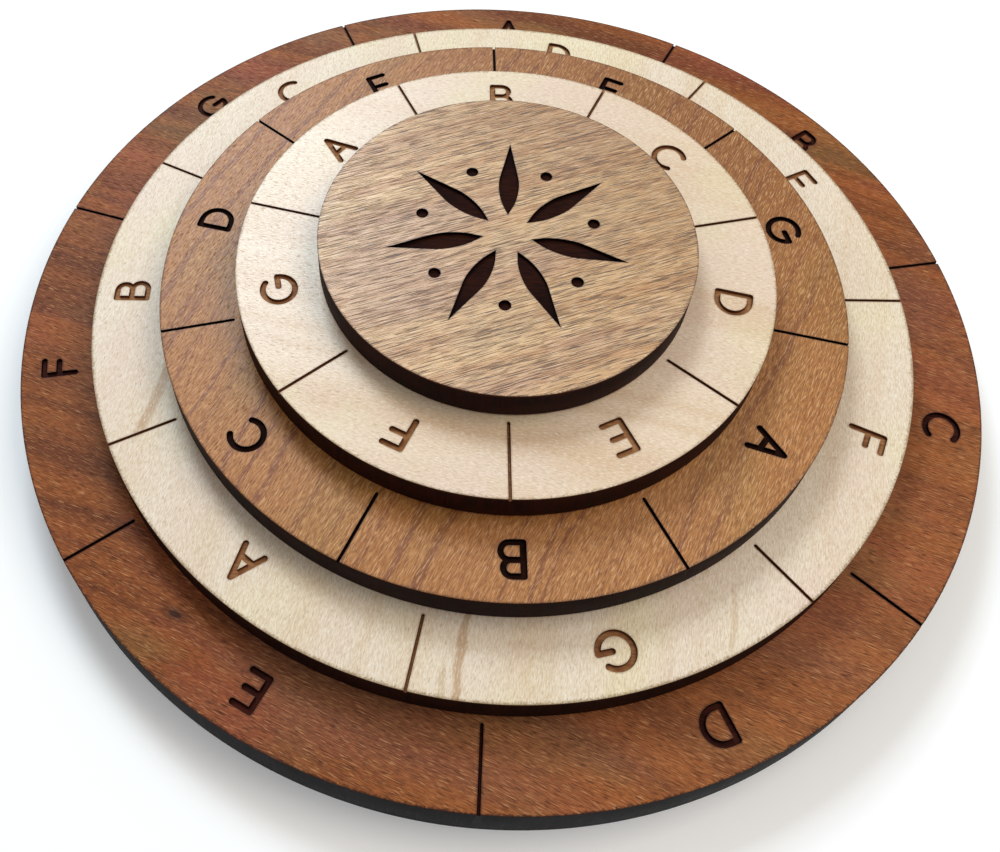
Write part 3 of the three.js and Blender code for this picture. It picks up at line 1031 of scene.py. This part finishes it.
# %% The cap's wood
LIGHT_WALNUT = {
    "turn": 23, "seed": 31.0, "radius": RADII["cap_disc"], "wander": 5, "ripple": 1.0, "bow": 0.0006,
    "rings_per_mm": 0.30, "ring_edge": (0.36, 0.70), "early": "e6b87e", "late": "c98f52",
    "patches": [("b98a70", (0.03, 0.09, 0.05), 0.55, 0.48, 0.70),
                ("d0b080", (0.04, 0.12, 0.05), 0.45, 0.50, 0.70)],
    # Painted shade: the side tint on the next line makes the cap darker towards its back and a little to the
    # right.
    "streaks": [], "painted_light_and_shade": ("a07044", 60, -5, 30, 0.5),
    "fibre": (0.34, 10.0, 10.0), "dark": "8d6038", "light": "f6dfc0", "fibre_dark": 0.7, "fibre_light": 0.55,
    "pore": (0.30, 11.0, 11.0), "pore_edge": 0.61, "pore_share": 0.85, "pore_tint": "4d3020",
    "halo_mm": 0.22, "halo_share": 0.5, "smoke": "3c1e10", "stain_mm": 0.3, "stain_share": 0.6,
    "fibre_deep": 0.8, "pore_deep": 1.0, "relief": 0.45, "roughness": 0.38, "gloss": 0.8,
    "fleck": ((0.36, 10.0, 10.0), 0.60, 0.45, "f7e2c0"),
    "stain": "3c1e10",
}
CAP_WALL = {
    "dark": "0e0302", "light": "260804", "ash": "2e0b06", "ash_share": 0.5, "lip": "4a2410",
    "lip_share": 0.7, "top": corners("cap_disc")[1].z, "gloss": 0.08,
}
CAP_CUT = {"turn": 0, "toast": "1e0a07", "pale": "34160b", "wall_border": "0e0404", "gloss": 0.05}

# %% Petals and dots
PETAL_ROOT = 3.6
PETAL_WAIST = 8.0
PETAL_TIP = 18.0
PETAL_HALF_WIDTH = 2.0
PETAL_ROUND = 3.2
DOT_CIRCLE = 13.0
DOT_RADIUS = 0.9

petal = cylinder("petal", 1, -ENGRAVE_DEPTH, CUTTER_TOP, 4)
for vert in petal.data.vertices:
    side = round(vert.co.x)
    end = round(vert.co.y)
    vert.co.x = side * PETAL_HALF_WIDTH
    vert.co.y = PETAL_WAIST if side else (PETAL_TIP if end > 0 else PETAL_ROOT)


def waist_edge(edge):
    """The upright edges at either side of the waist."""
    first, second = (vert.co for vert in edge.verts)
    return abs(first.x) > 1 and abs(first.x - second.x) < 0.1


pick(petal, "EDGE", waist_edge)
bpy.ops.mesh.bevel(offset=PETAL_ROUND, segments=10, affect="EDGES")
leave()
border_floor(petal)
print("petal", len(petal.data.vertices), "points")

# %% The cap itself
SOCKET_DEPTH = 2.4
MIDDLE_FACE = 1.0
cap = blank("rosette_cap", "cap_disc", MIDDLE_FACE)
leave()
pick(cap, "FACE", round_underside)
bpy.ops.mesh.inset(thickness=RADII["cap_disc"] - EDGE_ROUND - BORE_RADIUS)
push(SOCKET_DEPTH)
leave()

stud = dot((0, DOT_CIRCLE), DOT_RADIUS, 40)
cap_marks = []
for i in range(FIELDS):
    turn = i * 2 * math.pi / FIELDS
    cap_marks.append((petal, 0, turn))
    cap_marks.append((stud, 0, turn + math.pi / FIELDS))
engrave(cap, corners("cap_disc")[1].z, cap_marks, inside=0)
cap_finishes = [
    board("light_walnut", LIGHT_WALNUT), charred("cap_edge", CAP_WALL),
    engraved("cap_engraving", CAP_CUT),
]
hand_over(cap, "cap_disc", "base", cap_finishes)

# %% [markdown]
# ## The hub
# Nobody sees the hub unless the cryptex is taken apart, but it is what makes the wheels turn. A
# birch dowel is glued between the base and the cap and runs through all three wheels. A thin
# washer of pressed fibre under each disc keeps wood from rubbing on wood. A countersunk wood
# screw comes up through the base into the dowel's end, and its head shows from below.

# %% The dowel
BIRCH = dict(
    OUTER_MAPLE, stand=(0, 90, 0), radius=None, seed=41.0, early="e8cfa6", late="d3b180", streaks=[],
    wander=2, ripple=0.5, bow=0, rings_per_mm=0.9, fibre=(0.3, 4.0, 4.0), light="f4e2c2", dark="b99768",
)
POST_BEVEL = 0.25
PILOT_POINT = 1.0
PILOT_TIP = 0.1
birch = board("birch", BIRCH)
post_low, post_high = corners("hub_post")
post = cylinder("birch_dowel", POST_RADIUS, post_low.z, post_high.z)
pick(post, "EDGE", level_edge)
bpy.ops.mesh.bevel(offset=POST_BEVEL, segments=3, affect="EDGES")
leave()
pick(post, "FACE", round_underside)
bpy.ops.mesh.inset(thickness=POST_RADIUS - POST_BEVEL - SHANK_RADIUS)
push(corners("hub_screw")[1].z + CLEARANCE - post_low.z - PILOT_POINT)
bpy.ops.mesh.inset(thickness=SHANK_RADIUS - PILOT_TIP, depth=-PILOT_POINT)
leave()
hand_over(post, "hub_post", "base", [birch])

# %% The washers
def washer_finish():
    """Pressed paper fibre: dull, grey brown, and speckled like felt."""
    make = Finish("pressed_fibre")
    place = make.millimetres()
    speck = make.noise(place, (3.0, 3.0, 5.0), 4.0, 0.7)
    cloud = make.noise(place, (0.25, 0.25, 0.5), 2.0, 0.5)
    colour = make.mix(make.rise(speck, 0.35, 0.65), tint("4a4038"), tint("7d7164"))
    colour = make.mix(cloud * 0.5, colour, tint("5c4434"))
    make.paint(colour, 0.75 + speck * 0.2, make.bump(speck, 0.1, 0.5))
    return make.material


SMALL_BEVEL = 0.1
fibre = washer_finish()
WASHERS = (
    ("outer", "base"), ("middle", "outer_ring"), ("inner", "middle_ring"), ("cap", "inner_ring"),
)
for place_name, body in WASHERS:
    node = "slip_washer_" + place_name
    low, high = corners(node)
    radius = outline_radius(node)
    washer = cylinder("fibre_washer_" + place_name, radius, low.z, high.z)
    pick(washer, "FACE", round_face)
    bpy.ops.mesh.inset(thickness=radius - BORE_RADIUS)
    bpy.ops.mesh.bridge_edge_loops()
    leave()
    pick(washer, "EDGE", lambda edge: edge.calc_face_angle(0) > 1.2)
    bpy.ops.mesh.bevel(offset=SMALL_BEVEL, segments=2, affect="EDGES")
    leave()
    hand_over(washer, node, body, [fibre])

# %% [markdown]
# The screw's head and shank are one cylinder drawn out step by step: a cone is an inset with a
# depth. Its thread is a small triangle wound up the shank by the Screw modifier. The cross
# recess in the head is cut with two bars that get narrower towards their deep end.

# %% The screw
HEAD = outline_radius("hub_screw")
HEAD_RIM = 0.14
CORE = 1.55
CORE_TAPER = 0.5
POINT = 3.0
TIP_RADIUS = 0.06
screw_low, screw_high = corners("hub_screw")
screw = cylinder("hub_wood_screw", HEAD, screw_low.z, screw_low.z + HEAD_RIM)
pick(screw, "FACE", round_top)
bpy.ops.mesh.inset(thickness=HEAD - SHANK, depth=HEAD_DEPTH - HEAD_RIM)
bpy.ops.mesh.inset(thickness=SHANK - CORE, depth=CORE_TAPER)
push(screw_high.z - POINT - HEAD_DEPTH - CORE_TAPER - screw_low.z)
bpy.ops.mesh.inset(thickness=CORE - TIP_RADIUS, depth=POINT)
leave()
pick(screw, "FACE", round_underside)
bpy.ops.mesh.bevel(offset=SMALL_BEVEL, segments=2, affect="EDGES")
leave()

# %% The thread
PITCH = 1.4
TURNS = 8
THREAD_START = 3.4
THREAD_HALF = 0.3
THREAD_FOOT = CORE - 0.1
PROFILE = ((SHANK, 0), (THREAD_FOOT, THREAD_HALF), (THREAD_FOOT, -THREAD_HALF))
ridge = add(
    bpy.ops.mesh.primitive_circle_add, "thread", vertices=3, radius=0.3, location=(0, 0, 0),
)
for vert, (x, z) in zip(ridge.data.vertices, PROFILE):
    vert.co = (x, 0, screw_low.z + THREAD_START + z)
take(ridge)
winding = ridge.modifiers.new("winding", "SCREW")
winding.axis = "Z"
winding.screw_offset = PITCH
winding.iterations = TURNS
winding.steps = 32
winding.render_steps = 32
bpy.ops.object.modifier_apply(modifier="winding")
bpy.ops.object.mode_set(mode="EDIT")
bpy.ops.mesh.select_all(action="SELECT")
bpy.ops.mesh.fill_holes(sides=4)
bpy.ops.mesh.select_all(action="SELECT")
bpy.ops.mesh.normals_make_consistent(inside=False)
leave()
print("thread", TURNS, "turns,", len(ridge.data.polygons), "faces")

# %% The cross recess
RECESS_BAR = (3.6, 0.9, 2.2)
RECESS_SHARE = 0.6
recess = None
for turn in (0, math.pi / 2):
    slot_bar = add(
        bpy.ops.mesh.primitive_cube_add, "recess", size=1, scale=RECESS_BAR,
        location=(0, 0, screw_low.z + 0.1), rotation=(0, 0, turn),
    )
    pick(slot_bar, "FACE", lambda face: face.normal.z > 0.9)
    bpy.ops.transform.resize(value=(RECESS_SHARE, RECESS_SHARE, 1), center_override=(0, 0, 0))
    leave()
    if recess:
        carve(recess, slot_bar, "UNION")
    else:
        recess = slot_bar
carve(screw, recess)
join([screw, ridge])

# %% Zinc-plated steel
def zinc_finish():
    """Plated steel: a bluish grey with cloudy dull patches and fine turning lines."""
    make = Finish("zinc_plated_steel")
    place = make.millimetres()
    cloud = make.noise(place, (0.5, 0.5, 0.5), 3.0, 0.6)
    x, y, up = make.parts(place)
    radius = (x * x + y * y) ** 0.5
    line = make.rings(radius * 4.0 + up * 3.0, 2.0, 0.6)
    colour = make.mix(make.rise(cloud, 0.35, 0.70), tint("a9b0b5"), tint("7c8288"))
    make.paint(colour, 0.24 + cloud * 0.25 + line * 0.1, make.bump(line, 0.03, 0.3))
    make.shader.inputs["Metallic"].default_value = 1.0
    return make.material


hand_over(screw, "hub_screw", "base", [zinc_finish()])

# %% [markdown]
# ## Clearing the bench
# The letter, line and petal solids were only tools. They are removed.

# %% Clear and finish
TOOL_NAMES = ("letter_", "bar", "dot", "petal")
for tool in [item for item in bpy.data.objects if item.name.startswith(TOOL_NAMES)]:
    bpy.data.objects.remove(tool)
